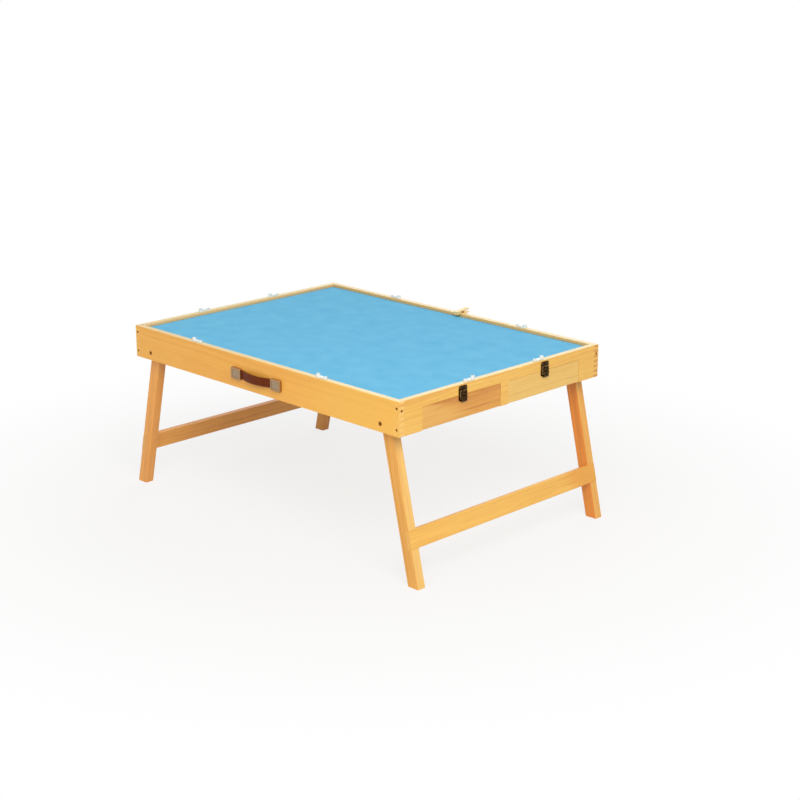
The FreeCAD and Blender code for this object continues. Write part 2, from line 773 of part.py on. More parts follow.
# Turn clips: a boss on a screw with a tapered paddle and a finger lug at its tip
boss_radius = clip_boss_diameter / 2
tip_radius = clip_tip_diameter / 2
tip_centre = clip_paddle_reach - tip_radius
flank = math.degrees(math.acos((boss_radius - tip_radius) / tip_centre))
paddle_steps = [circle_point((0, 0), boss_radius, -flank), circle_point((tip_centre, 0), tip_radius, -flank)]
paddle_steps += [((tip_centre + tip_radius, 0), circle_point((tip_centre, 0), tip_radius, flank))]
paddle_steps += [circle_point((0, 0), boss_radius, flank)]
paddle_steps += [((-boss_radius, 0), circle_point((0, 0), boss_radius, -flank))]
paddle = extrude_z(paddle_steps, 0, clip_paddle_thickness)
lug_steps = [(tip_centre + tip_radius - clip_lug_length, -tip_radius), (tip_centre, -tip_radius)]
lug_steps += [((tip_centre + tip_radius, 0), (tip_centre, tip_radius))]
lug_steps += [(tip_centre + tip_radius - clip_lug_length, tip_radius)]
lug = extrude_z(lug_steps, clip_paddle_thickness, clip_paddle_thickness + clip_lug_height)
boss = rod(boss_radius, origin, point(0, 0, clip_boss_height))
clip = boss.fuse([paddle, lug]).removeSplitter()
recess_floor = clip_boss_height - clip_screw_head_height
clip = clip.cut(rod(clip_screw_head_diameter / 2 + clip_recess_gap, point(0, 0, recess_floor),
                    point(0, 0, clip_boss_height + cut_overrun)))
clip = clip.cut(rod(clip_screw_diameter / 2 + running_clearance, point(0, 0, -cut_overrun),
                    point(0, 0, clip_boss_height)))
clip_names = ("front_left", "front_right", "right_front", "right_back")
clip_names += ("back_right", "back_left", "left_back", "left_front")
for name, (at, angle) in zip(clip_names, clip_places):
    placed = clip.copy()
    placed.rotate(origin, z_axis, angle)
    placed.translate(at + point(0, 0, clip_rest_gap))
    save("turn_clip_" + name, placed)
save("turn_clip_screws", *[clip_screw(0, at) for at, angle in clip_places])

# Picture clip: two wooden halves with a coil spring, jaws over the tray, tails behind the rim
pin_tip = half_width + pin_overhang - pin_length
pin_tail = half_width + pin_overhang
pin_fulcrum = pin_tip + pin_jaw_length
jaw_z = table_height + pin_base_thickness
coil_radius = spring_coil_radius + spring_wire_diameter / 2 + pin_coil_gap
pin_slope = math.tan(math.radians(pin_lift_degrees))
pin_left = pin_place - pin_width / 2
pin_right = pin_place + pin_width / 2
seat_start = (pin_fulcrum + coil_radius, jaw_z)
seat_arc = ((pin_fulcrum, jaw_z - coil_radius), (pin_fulcrum - coil_radius, jaw_z))
tail_round = pin_tail_thickness / 2
base_steps = [(pin_tip, table_height), (pin_tail - tail_round, table_height)]
tail_end = (pin_tail - tail_round, table_height + pin_tail_thickness)
base_steps += [((pin_tail, table_height + tail_round), tail_end)]
base_steps += [seat_start, seat_arc, (pin_tip, jaw_z)]
save("picture_clip_base", extrude_x(base_steps, pin_left, pin_right))

arm_z = jaw_z + pin_jaw_gap
tip_top = arm_z + pin_tip_thickness
tail_top = tip_top + pin_length * pin_slope
tail_low = tail_top - pin_tail_thickness
seat_rise = math.sqrt(coil_radius ** 2 - pin_jaw_gap ** 2)
arm_steps = [(pin_tip, arm_z), (pin_fulcrum - seat_rise, arm_z)]
arm_seat_end = circle_point((pin_fulcrum, jaw_z), coil_radius, pin_seat_end_degrees)
arm_steps += [((pin_fulcrum, jaw_z + coil_radius), arm_seat_end)]
arm_steps += [(pin_tail - tail_round, tail_low)]
arm_steps += [((pin_tail, tail_low + tail_round), (pin_tail - tail_round, tail_top - tail_round * pin_slope))]
arm_steps += [(pin_tip, tip_top)]
save("picture_clip_arm", extrude_x(arm_steps, pin_left, pin_right))

# Coil spring about X: quarter-turn arcs, with a straight tangent arm at each side of the wood
spring_length = pin_width + spring_wire_diameter + 2 * pin_coil_gap
spring_pitch = spring_length / spring_turns


def coil_point(turns):
    angle = 2 * math.pi * turns
    along = pin_place + (turns - spring_turns / 2) * spring_pitch
    return point(along, pin_fulcrum + spring_coil_radius * math.sin(angle),
                 jaw_z - spring_coil_radius * math.cos(angle))


coil_arc_shares = (0, 0.5, 1)
coil_edges = []
for quarter in range(round(spring_turns * quarters_per_turn)):
    on_arc = [coil_point((quarter + share) / quarters_per_turn) for share in coil_arc_shares]
    coil_edges.append(Part.Arc(*on_arc).toShape())
first = coil_edges[0]
last = coil_edges[-1]
lead_in = first.tangentAt(first.FirstParameter)
lead_out = last.tangentAt(last.LastParameter)
arm_start = coil_point(0) - lead_in * spring_arm_length
arm_end = coil_point(spring_turns) + lead_out * spring_arm_length
spring_edges = [Part.LineSegment(arm_start, coil_point(0)).toShape()] + coil_edges
spring_edges.append(Part.LineSegment(coil_point(spring_turns), arm_end).toShape())
spring_path = Part.Wire(spring_edges)
save("picture_clip_spring", bent_wire(spring_path, spring_wire_diameter, arm_start, lead_in))
print("spring gap between turns", spring_pitch - spring_wire_diameter)
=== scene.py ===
import json
import math

import bmesh
import bpy
from mathutils import Matrix, Vector, noise


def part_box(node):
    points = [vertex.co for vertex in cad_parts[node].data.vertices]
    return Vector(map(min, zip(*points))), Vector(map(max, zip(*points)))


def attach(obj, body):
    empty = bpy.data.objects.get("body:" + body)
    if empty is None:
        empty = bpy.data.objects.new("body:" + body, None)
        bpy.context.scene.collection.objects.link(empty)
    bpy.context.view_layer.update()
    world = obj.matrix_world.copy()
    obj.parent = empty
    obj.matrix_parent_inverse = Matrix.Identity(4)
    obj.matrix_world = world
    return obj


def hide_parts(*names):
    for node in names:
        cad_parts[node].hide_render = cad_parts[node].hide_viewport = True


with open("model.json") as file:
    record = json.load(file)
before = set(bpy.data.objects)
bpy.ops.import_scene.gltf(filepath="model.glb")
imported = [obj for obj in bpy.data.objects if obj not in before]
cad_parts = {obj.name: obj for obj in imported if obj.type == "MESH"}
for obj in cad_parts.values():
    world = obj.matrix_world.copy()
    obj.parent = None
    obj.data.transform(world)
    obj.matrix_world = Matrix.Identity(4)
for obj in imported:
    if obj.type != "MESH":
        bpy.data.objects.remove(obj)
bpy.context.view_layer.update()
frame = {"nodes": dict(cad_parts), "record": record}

cadNodes = frame["nodes"]
mm = 0.001
print("frame loaded:", len(cadNodes), "nodes")


# Colours and shader nodes

def linear(hexColour):
    channels = []
    for start in (1, 3, 5):
        value = int(hexColour[start:start + 2], 16) / 255
        channels.append(value / 12.92 if value <= 0.04045 else ((value + 0.055) / 1.055) ** 2.4)
    return (*channels, 1.0)


def addNode(tree, kind, inputs, **settings):
    node = tree.nodes.new("ShaderNode" + kind)
    for name, value in settings.items():
        setattr(node, name, value)
    for socket, value in inputs.items():
        if isinstance(value, bpy.types.NodeSocket):
            tree.links.new(value, node.inputs[socket])
        else:
            node.inputs[socket].default_value = value
    return node.outputs


def newFinish(name, fixed):
    # a material with one shader, whose constant values sit on its own sockets
    material = bpy.data.materials.new(name)
    material.use_nodes = True
    tree = material.node_tree
    shader = tree.nodes["Principled BSDF"]
    for socket, value in fixed.items():
        shader.inputs[socket].default_value = value
    return material, tree, shader


def linkShader(tree, shader, links):
    for socket, value in links.items():
        tree.links.new(value, shader.inputs[socket])


def perMetre(sizeMm):
    return 1.0 / (sizeMm * mm)


# Pine, planed and sanded, under a thin clear lacquer: pale earlywood with darker latewood
# lines that run the length of a board, arcs on its end, and a soft gloss at a low angle.
# Real fibres are 0.03 mm wide, so the fine streaks are drawn at 1 mm to show.
# Lengths, widths, reaches and heights are in mm. A span is where a mark starts and where it is full.

grains = {
    "wander": {"length": 420.0, "width": 60.0, "detail": 2.0, "reach": 16.0},
    "waver": {"length": 140.0, "width": 18.0, "detail": 2.0, "reach": 3.2},
    "streak": {"length": 190.0, "width": 6.0, "detail": 3.0, "span": (0.45, 0.72)},
    "pitch": {"length": 70.0, "width": 1.6, "detail": 2.0, "span": (0.58, 0.74)},
    "fibre": {"length": 45.0, "width": 1.0, "detail": 3.0, "span": (0.3, 0.7)},
    "patch": {"length": 300.0, "width": 90.0, "detail": 2.0, "span": (0.42, 0.7)},
}
pine = {
    "taper": 0.012, "paceScale": 0.55, "paceDetail": 1.0, "paceReach": 2.4,
    "lateSpan": (0.2, 0.9), "ringBlur": 0.10, "faintYear": 0.15, "fibreLight": (0.94, 1.04),
    # the flat spans set where the legs' x-face colour takes hold, which is partly grain and partly painted
    # light and shade
    "steep": 0.9, "flatSpan": (0.6, 0.85), "flatStreakSpan": (0.35, 0.65), "flatShow": (1.15, 0.65),
    "endSpan": (0.72, 0.9), "rimHeight": 403.5,
    # painted highlight: paler colours for the rim's top and inner faces, standing in for the lacquer's sheen
    "rimTop": {"colour": "#E7D093", "share": 0.8, "span": (0.35, 0.8)},
    "rimInner": {"colour": "#EDC391", "share": 0.75, "span": (0.5, 0.9)},
    "fibreHeight": 0.05, "lateRelief": 0.6, "roughness": (0.36, 0.56),
    "coat": 0.22, "coatRoughness": 0.2, "ior": 1.5, "seedStep": 1.37,
}

railWood = {"early": "#F6B246", "late": "#E59733", "dark": "#B16721", "tone": "#F8BB56",
            "ring": 6.5, "figure": 0.36, "streak": 0.18, "pitch": 0.10, "patch": 0.22}
legWood = {"early": "#ECA441", "late": "#C97126", "dark": "#9F591C", "tone": "#F3BB63",
           "end": "#E8AC5A", "endShare": 0.5,
           "ring": 4.4, "figure": 0.60, "streak": 0.45, "pitch": 0.22, "patch": 0.34}

pineLooks = {
    "frame": {**railWood, "end": "#FACD80", "endShare": 0.6,
              "shade": "#F6C153", "shadeShare": 0.5, "shadeReach": (300.0, 100.0),
              "shadeLean": 0.0, "shadeRagged": 150.0},
    # the back rail's inner rim face is drawn darker: painted shade
    "backFrame": {**railWood, "end": "#CD9146", "endShare": 0.75, "rimInner": "#D5B67E"},
    "endFrame": {"early": "#F7C159", "late": "#E2993D", "dark": "#B16921", "tone": "#F9C869",
                 "end": "#F4C069", "endShare": 0.1,
                 "ring": 5.6, "figure": 0.46, "streak": 0.30, "pitch": 0.16, "patch": 0.34},
    "drawerStrong": {"early": "#EBAB48", "late": "#BD6F26", "dark": "#955219", "tone": "#D88E3B",
                     "end": "#F1BE65", "endShare": 0.3,
                     "ring": 9.0, "figure": 0.75, "streak": 0.85, "pitch": 0.50, "patch": 0.70,
                     "streakSpan": (0.48, 0.62),
                     "shade": "#EFBB61", "shadeShare": 0.55, "shadeReach": (-70.0, 0.0),
                     "shadeLean": 2.2, "shadeRagged": 150.0},
    "drawerPale": {"early": "#F1C367", "late": "#E2A84E", "dark": "#BD7C31", "tone": "#F3CC79",
                   "end": "#F3CC79", "endShare": 0.3,
                   "ring": 8.0, "figure": 0.45, "streak": 0.25, "pitch": 0.12, "patch": 0.30},
    "leg": legWood,
    # the near left leg's x faces are drawn darker: painted shade under the table top
    "legLeft": {**legWood, "early": "#F7AB4B", "late": "#D67C2D", "tone": "#F9C16B",
                "flat": "#D6954A", "flatShare": 0.6},
    # the near right leg's x faces are drawn paler: partly grain, partly painted light on its lit side
    "legNear": {**legWood, "early": "#EEAC4A", "late": "#CD802F",
                "flat": "#F8CD78", "flatShare": 0.65},
    # painted shade: the far right leg is a darker copy of the leg wood, standing in for the shade under the
    # table top; its x faces are drawn paler, painted light on its lit side
    "legFar": {**legWood, "early": "#EB9131", "late": "#C5691E", "dark": "#955016", "tone": "#E99B44",
               "end": "#DC974E", "patch": 0.30, "flat": "#F3C161", "flatShare": 0.65},
    "crossbar": {"early": "#F7BE56", "late": "#E09B3D", "dark": "#B16D21", "tone": "#F9C769",
                 "end": "#EBAC54", "endShare": 0.7,
                 "ring": 5.0, "figure": 0.50, "streak": 0.36, "pitch": 0.18, "patch": 0.35,
                 # painted shade: the far end of the near crossbar is drawn darker, where the table top
                 # shades it
                 "shade": "#E99F39", "shadeShare": 0.75, "shadeReach": (245.0, 185.0),
                 "shadeLean": 0.8, "shadeRagged": 90.0},
    "inner": {"early": "#F1CD94", "late": "#D3A261", "dark": "#A47136", "tone": "#F4D6A2",
              "end": "#E8C48B", "endShare": 0.5,
              "ring": 4.4, "figure": 0.55, "streak": 0.30, "pitch": 0.20, "patch": 0.35},
    "plywood": {"early": "#EFD19D", "late": "#D9B077", "dark": "#B0844E", "tone": "#E3BF8A",
                "end": "#C29661", "endShare": 0.5,
                "ring": 11.0, "figure": 0.45, "streak": 0.20, "pitch": 0.15, "patch": 0.45},
    "birch": {"early": "#FAD58B", "late": "#E8B667", "dark": "#C28E48", "tone": "#FBDC9D",
              "end": "#E8C48C", "endShare": 0.5,
              "ring": 2.4, "figure": 0.40, "streak": 0.25, "pitch": 0.10, "patch": 0.25},
}


def boardPlace(tree, along, centre, heart, seed, turnedInside):
    # the place in the whole table, and in the log: x along the grain, y and z out from the heart
    place = addNode(tree, "TexCoord", {})["Object"]
    if turnedInside:
        # the drawer's back wall stands across its sides, so its grain turns with it
        x, y, z = addNode(tree, "SeparateXYZ", {0: place})
        reach = addNode(tree, "Math", {0: x}, operation="ABSOLUTE")[0]
        isBack = addNode(tree, "Math", {0: reach, 1: turnedInside}, operation="LESS_THAN")[0]
        turned = addNode(tree, "CombineXYZ", {0: y, 1: x, 2: z})[0]
        place = addNode(tree, "Mix", {0: isBack, 4: place, 5: turned}, data_type="VECTOR")[1]
    side = Vector((0, 0, 1)) if abs(along.z) < pine["steep"] else Vector((0, 1, 0))
    across = side.cross(along).normalized()
    turn = Matrix((along, across, along.cross(across)))
    shift = Vector((seed, heart[0] * mm, heart[1] * mm)) - turn @ Vector(centre)
    board = addNode(tree, "Mapping", {
        "Vector": place, "Rotation": turn.to_euler(), "Location": shift})[0]
    return place, board


def grainNoise(tree, board, grain):
    steps = (perMetre(grain["length"]), perMetre(grain["width"]), perMetre(grain["width"]))
    spot = addNode(tree, "VectorMath", {0: board, 1: steps}, operation="MULTIPLY")[0]
    return addNode(tree, "TexNoise", {"Vector": spot, "Scale": 1.0, "Detail": grain["detail"]})[0]


def yearRings(tree, look, board, marks):
    # distance from the heart, less the trunk's taper, bent by slow and quick wandering
    outward = addNode(tree, "VectorMath", {0: board, 1: (0, 1, 1)}, operation="MULTIPLY")[0]
    radius = addNode(tree, "VectorMath", {0: outward}, operation="LENGTH")["Value"]
    length = addNode(tree, "SeparateXYZ", {0: board})[0]
    bent = addNode(tree, "Math", {0: length, 1: pine["taper"], 2: radius}, operation="MULTIPLY_ADD")[0]
    for kind in ("wander", "waver"):
        reach = grains[kind]["reach"] * mm
        bent = addNode(tree, "Math", {0: marks[kind], 1: reach, 2: bent}, operation="MULTIPLY_ADD")[0]
    rings = addNode(tree, "Math", {0: bent, 1: perMetre(look["ring"])}, operation="MULTIPLY")[0]
    # good and bad years: the ring count runs on at an uneven pace
    pace = addNode(tree, "TexNoise", {"W": rings, "Scale": pine["paceScale"], "Detail": pine["paceDetail"]},
                   noise_dimensions="1D")[0]
    years = addNode(tree, "Math", {0: pace, 1: pine["paceReach"], 2: rings}, operation="MULTIPLY_ADD")[0]
    year = addNode(tree, "Math", {0: years}, operation="FRACT")[0]
    yearCount = addNode(tree, "Math", {0: years}, operation="FLOOR")[0]
    yearDepth = addNode(tree, "TexWhiteNoise", {"W": yearCount}, noise_dimensions="1D")["Value"]
    start, full = pine["lateSpan"]
    rise = addNode(tree, "MapRange", {0: year, 1: start, 2: full, 3: 0.0, 4: 1.0},
                   interpolation_type="SMOOTHSTEP")[0]
    drop = addNode(tree, "MapRange", {0: year, 1: 1.0 - pine["ringBlur"], 2: 1.0, 3: 1.0, 4: 0.0})[0]
    late = addNode(tree, "Math", {0: rise, 1: drop}, operation="MULTIPLY")[0]
    faintest = pine["faintYear"] * look["figure"]
    depth = addNode(tree, "MapRange", {0: yearDepth, 3: faintest, 4: look["figure"]})[0]
    return addNode(tree, "Math", {0: late, 1: depth}, operation="MULTIPLY")[0]


def woodTones(tree, look, lateShare, marks):
    # earlywood and latewood, then streaks, pitch lines and pale patches, under the fibres' light and dark
    early, late = linear(look["early"]), linear(look["late"])
    toned = addNode(tree, "Mix", {0: lateShare, 6: early, 7: late}, data_type="RGBA")[2]
    for kind, colour in (("streak", late), ("pitch", linear(look["dark"])), ("patch", linear(look["tone"]))):
        start, full = look.get(kind + "Span", grains[kind]["span"])
        share = addNode(tree, "MapRange", {0: marks[kind], 1: start, 2: full, 3: 0.0, 4: look[kind]})[0]
        toned = addNode(tree, "Mix", {0: share, 6: toned, 7: colour}, data_type="RGBA")[2]
    start, full = grains["fibre"]["span"]
    dim, bright = pine["fibreLight"]
    light = addNode(tree, "MapRange", {0: marks["fibre"], 1: start, 2: full, 3: dim, 4: bright})[0]
    return addNode(tree, "VectorMath", {0: toned, "Scale": light}, operation="SCALE")[0]


def sideFacesToneAndLight(tree, look, toned, facing, streak):
    # faces turned along x take the look's flat colour: on the near and far right legs a paler tone, partly
    # grain and partly painted light on their lit side; on the near left leg a darker painted shade where the
    # table top shades it
    sideways = addNode(tree, "VectorMath", {0: facing, 1: (1, 0, 0)}, operation="DOT_PRODUCT")["Value"]
    turned = addNode(tree, "Math", {0: sideways}, operation="ABSOLUTE")[0]
    start, full = pine["flatSpan"]
    isSideFace = addNode(tree, "MapRange", {0: turned, 1: start, 2: full, 3: 0.0, 4: look["flatShare"]})[0]
    start, full = pine["flatStreakSpan"]
    most, least = pine["flatShow"]
    showing = addNode(tree, "MapRange", {0: streak, 1: start, 2: full, 3: most, 4: least})[0]
    share = addNode(tree, "Math", {0: isSideFace, 1: showing}, operation="MULTIPLY")[0]
    return addNode(tree, "Mix", {0: share, 6: toned, 7: linear(look["flat"])}, data_type="RGBA")[2]


def endToneAndShade(tree, look, toned, along, centre, place, streak):
    # one end of the board takes another colour: on the drawer fronts a paler sapwood end, on the front rail
    # a paler right end, and on the near crossbar a darker far end that is painted shade under the table top
    rising = along + Vector((0, 0, look["shadeLean"]))
    spot = addNode(tree, "VectorMath", {0: place, 1: tuple(rising)}, operation="DOT_PRODUCT")["Value"]
    raggedness = look["shadeRagged"] * mm
    ragged = addNode(tree, "Math", {0: streak, 1: raggedness, 2: spot}, operation="MULTIPLY_ADD")[0]
    middle = rising.dot(Vector(centre)) + raggedness / 2
    allShade, noShade = (middle + reach * mm for reach in look["shadeReach"])
    share = addNode(tree, "MapRange", {0: ragged, 1: allShade, 2: noShade, 3: look["shadeShare"], 4: 0.0},
                    interpolation_type="SMOOTHSTEP")[0]
    return addNode(tree, "Mix", {0: share, 6: toned, 7: linear(look["shade"])}, data_type="RGBA")[2]


def cutEnds(tree, look, toned, along, facing):
    # end grain takes in more lacquer, so it differs from the faces
    lean = addNode(tree, "VectorMath", {0: facing, 1: tuple(along)}, operation="DOT_PRODUCT")["Value"]
    turned = addNode(tree, "Math", {0: lean}, operation="ABSOLUTE")[0]
    start, full = pine["endSpan"]
    share = addNode(tree, "MapRange", {0: turned, 1: start, 2: full, 3: 0.0, 4: look["endShare"]})[0]
    return addNode(tree, "Mix", {0: share, 6: toned, 7: linear(look["end"])}, data_type="RGBA")[2]


def paintedRimSheen(tree, look, toned, facing, place, inward):
    # painted highlight: above the rim height the top and inner faces of a rail are drawn paler, standing in
    # for the lacquer's sheen; the back rail's inner face is drawn darker, a painted shade
    height = addNode(tree, "SeparateXYZ", {0: place})[2]
    isHigh = addNode(tree, "Math", {0: height, 1: pine["rimHeight"] * mm}, operation="GREATER_THAN")[0]
    for rim, way in (("rimTop", (0, 0, 1)), ("rimInner", inward)):
        rimSheen = pine[rim]
        turned = addNode(tree, "VectorMath", {0: facing, 1: way}, operation="DOT_PRODUCT")["Value"]
        start, full = rimSheen["span"]
        isSheenFace = addNode(tree, "MapRange", {0: turned, 1: start, 2: full, 3: 0.0, 4: rimSheen["share"]})[0]
        share = addNode(tree, "Math", {0: isSheenFace, 1: isHigh}, operation="MULTIPLY")[0]
        pale = linear(look.get(rim, rimSheen["colour"]))
        toned = addNode(tree, "Mix", {0: share, 6: toned, 7: pale}, data_type="RGBA")[2]
    return toned


def lacqueredPine(name, lookName, grain, centre, heart, seed, turnedInside=None, inward=None):
    look = pineLooks[lookName]
    material, tree, shader = newFinish(name, {
        "IOR": pine["ior"], "Coat Weight": pine["coat"], "Coat Roughness": pine["coatRoughness"]})
    along = Vector(grain).normalized()
    place, board = boardPlace(tree, along, centre, heart, seed, turnedInside)
    marks = {kind: grainNoise(tree, board, size) for kind, size in grains.items()}
    lateShare = yearRings(tree, look, board, marks)
    toned = woodTones(tree, look, lateShare, marks)
    facing = addNode(tree, "NewGeometry", {})["True Normal"]
    if "flat" in look:
        toned = sideFacesToneAndLight(tree, look, toned, facing, marks["streak"])
    if "shade" in look:
        toned = endToneAndShade(tree, look, toned, along, centre, place, marks["streak"])
    toned = cutEnds(tree, look, toned, along, facing)
    if inward:
        toned = paintedRimSheen(tree, look, toned, facing, place, inward)
    start, full = grains["fibre"]["span"]
    low, high = pine["roughness"]
    rough = addNode(tree, "MapRange", {0: marks["fibre"], 1: start, 2: full, 3: high, 4: low})[0]
    relief = addNode(tree, "Math", {0: lateShare, 1: pine["lateRelief"], 2: marks["fibre"]},
                     operation="MULTIPLY_ADD")[0]
    bump = addNode(tree, "Bump", {"Height": relief, "Strength": 1.0,
                                  "Distance": pine["fibreHeight"] * mm})[0]
    linkShader(tree, shader, {"Base Color": toned, "Roughness": rough, "Normal": bump})
    return material


def dress(node, material):
    slots = cadNodes[node].data.materials
    slots.clear()
    slots.append(material)


# Each board's cut from the log: its grain direction, and how far its middle lies from the heart, in mm

splay = math.radians(13.0)
rightLegGrain = (-math.sin(splay), 0, math.cos(splay))
leftLegGrain = (math.sin(splay), 0, math.cos(splay))
lengthwise, crosswise = (1, 0, 0), (0, 1, 0)

boards = {
    "front_rail": ("frame", lengthwise, (46, 22)),
    "back_rail": ("backFrame", lengthwise, (-52, 30)),
    "right_rail": ("endFrame", crosswise, (34, -40)),
    "left_rail": ("endFrame", crosswise, (-38, 44)),
    "drawer_front_right_front": ("drawerStrong", crosswise, (70, 9)),
    "drawer_front_right_back": ("drawerPale", crosswise, (25, 48)),
    "drawer_front_left_front": ("drawerPale", crosswise, (-30, 36)),
    "drawer_front_left_back": ("drawerStrong", crosswise, (-64, 20)),
    "leg_right_front": ("legNear", rightLegGrain, (36, 28)),
    "leg_right_back": ("legFar", rightLegGrain, (-30, 42)),
    "leg_left_front": ("legLeft", leftLegGrain, (44, -24)),
    "leg_left_back": ("leg", leftLegGrain, (-40, -30)),
    "crossbar_right": ("crossbar", crosswise, (40, 20)),
    "crossbar_left": ("leg", crosswise, (-36, 26)),
    "centre_runners": ("inner", lengthwise, (25, 60)),
    "side_runners": ("inner", lengthwise, (30, 80)),
    "leg_stop_blocks": ("inner", lengthwise, (44, 30)),
    "tray_board": ("plywood", lengthwise, (30, 240)),
    "drawer_floor_right_front": ("plywood", lengthwise, (40, 200)),
    "drawer_floor_right_back": ("plywood", lengthwise, (-50, 210)),
    "drawer_floor_left_front": ("plywood", lengthwise, (60, 190)),
    "drawer_floor_left_back": ("plywood", lengthwise, (-20, 220)),
    "drawer_walls_right_front": ("inner", lengthwise, (60, 34)),
    "drawer_walls_right_back": ("inner", lengthwise, (-50, 40)),
    "drawer_walls_left_front": ("inner", lengthwise, (54, 28)),
    "drawer_walls_left_back": ("inner", lengthwise, (-44, 36)),
    "picture_clip_base": ("birch", crosswise, (14, 12)),
    "picture_clip_arm": ("birch", crosswise, (-12, 16)),
}
drawerBackWall = 9.0
inwardFaces = {"front_rail": (0, 1, 0), "back_rail": (0, -1, 0),
               "right_rail": (-1, 0, 0), "left_rail": (1, 0, 0)}

for number, (node, (lookName, grain, heart)) in enumerate(boards.items()):
    low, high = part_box(node)
    backEdge = None
    if node.startswith("drawer_walls"):
        backEdge = min(abs(low.x), abs(high.x)) + drawerBackWall * mm
    dress(node, lacqueredPine("lacqueredPine_" + node, lookName, grain, (low + high) / 2, heart,
                              pine["seedStep"] * (number + 1), backEdge, inwardFaces.get(node)))
print("boards finished:", len(boards))


# Antiqued brass plate on pressed steel: brown-black, rubbed back to bright brass along its edges.
# The wire of a latch is handled most, so it is rubbed all along.

bronze = {"dark": "#2A1A07", "warm": "#4A3113", "worn": "#BF9C62", "cloud": 2.4, "cloudDetail": 4.0,
          "edge": 0.8, "edgeSamples": 6, "rubSpan": (0.997, 0.9), "plateRub": 0.0, "wireRub": 0.7,
          "patchySpan": (0.35, 0.62), "patchyLow": 0.25, "glossSpan": (0.3, 0.7),
          "roughness": (0.3, 0.5), "relief": 0.03}


def antiquedBrass(name, rubbedAll):
    material, tree, shader = newFinish(name, {"Metallic": 1.0})
    place = addNode(tree, "TexCoord", {})["Object"]
    cloud = addNode(tree, "TexNoise", {"Vector": place, "Scale": perMetre(bronze["cloud"]),
                                       "Detail": bronze["cloudDetail"]})[0]
    body = addNode(tree, "Mix", {0: cloud, 6: linear(bronze["dark"]), 7: linear(bronze["warm"])},
                   data_type="RGBA")[2]
    rounded = addNode(tree, "Bevel", {"Radius": bronze["edge"] * mm}, samples=bronze["edgeSamples"])[0]
    plain = addNode(tree, "NewGeometry", {})["Normal"]
    match = addNode(tree, "VectorMath", {0: rounded, 1: plain}, operation="DOT_PRODUCT")["Value"]
    start, full = bronze["rubSpan"]
    rubbed = addNode(tree, "MapRange", {0: match, 1: start, 2: full, 3: rubbedAll, 4: 1.0})[0]
    start, full = bronze["patchySpan"]
    patchy = addNode(tree, "MapRange", {0: cloud, 1: start, 2: full, 3: bronze["patchyLow"], 4: 1.0})[0]
    worn = addNode(tree, "Math", {0: rubbed, 1: patchy}, operation="MULTIPLY")[0]
    colour = addNode(tree, "Mix", {0: worn, 6: body, 7: linear(bronze["worn"])}, data_type="RGBA")[2]
    start, full = bronze["glossSpan"]
    low, high = bronze["roughness"]
    rough = addNode(tree, "MapRange", {0: cloud, 1: start, 2: full, 3: low, 4: high})[0]
    bump = addNode(tree, "Bump", {"Height": cloud, "Strength": 1.0, "Distance": bronze["relief"] * mm})[0]
    linkShader(tree, shader, {"Base Color": colour, "Roughness": rough, "Normal": bump})
    return material


# Plain metals and plastic share a cloudy skin: two close tones, a gloss that varies, a faint relief.
# Satin champagne plating is drawn out along the cap as brushed metal is.

skins = {
    "bronzedSteel": {"tones": ("#884E10", "#A66A20"), "metallic": 0.85, "cloud": (2.0, 2.0, 2.0),
                     "roughness": (0.34, 0.5), "relief": 0.02},   # brown, with a dull sparkle
    "zincPlatedSteel": {"tones": ("#B9BAB7", "#D9D9D4"), "metallic": 1.0, "cloud": (4.0, 4.0, 4.0),
                        "roughness": (0.24, 0.4), "relief": 0.01},   # bright, faint spangle
    "champagnePlatedSteel": {"tones": ("#A27F58", "#B5926A"), "metallic": 0.9, "cloud": (26.0, 0.4, 0.4),
                             "roughness": (0.26, 0.4), "relief": 0.012},   # silky, warm grey gold
    "polishedChampagne": {"tones": ("#988268", "#AA947A"), "metallic": 0.9, "cloud": (16.0, 0.4, 0.4),
                          "roughness": (0.2, 0.3), "relief": 0.006},   # the caps' sunk panel, greyer
    "mouldedNylon": {"tones": ("#DDE0DA", "#ECEEE9"), "metallic": 0.0, "cloud": (5.0, 5.0, 5.0),
                     "roughness": (0.3, 0.42), "relief": 0.02},   # milky white, softly glossy
}
skinCloud = {"detail": 4.0, "span": (0.3, 0.7)}


def cloudySkin(name):
    skin = skins[name]
    material, tree, shader = newFinish(name, {"Metallic": skin["metallic"]})
    place = addNode(tree, "TexCoord", {})["Object"]
    steps = tuple(perMetre(size) for size in skin["cloud"])
    spot = addNode(tree, "VectorMath", {0: place, 1: steps}, operation="MULTIPLY")[0]
    cloud = addNode(tree, "TexNoise", {"Vector": spot, "Scale": 1.0, "Detail": skinCloud["detail"]})[0]
    start, full = skinCloud["span"]
    tone = addNode(tree, "MapRange", {0: cloud, 1: start, 2: full})[0]
    first, second = (linear(colour) for colour in skin["tones"])
    colour = addNode(tree, "Mix", {0: tone, 6: first, 7: second}, data_type="RGBA")[2]
    low, high = skin["roughness"]
    rough = addNode(tree, "MapRange", {0: cloud, 1: start, 2: full, 3: low, 4: high})[0]
    bump = addNode(tree, "Bump", {"Height": cloud, "Strength": 1.0, "Distance": skin["relief"] * mm})[0]
    linkShader(tree, shader, {"Base Color": colour, "Roughness": rough, "Normal": bump})
    return material


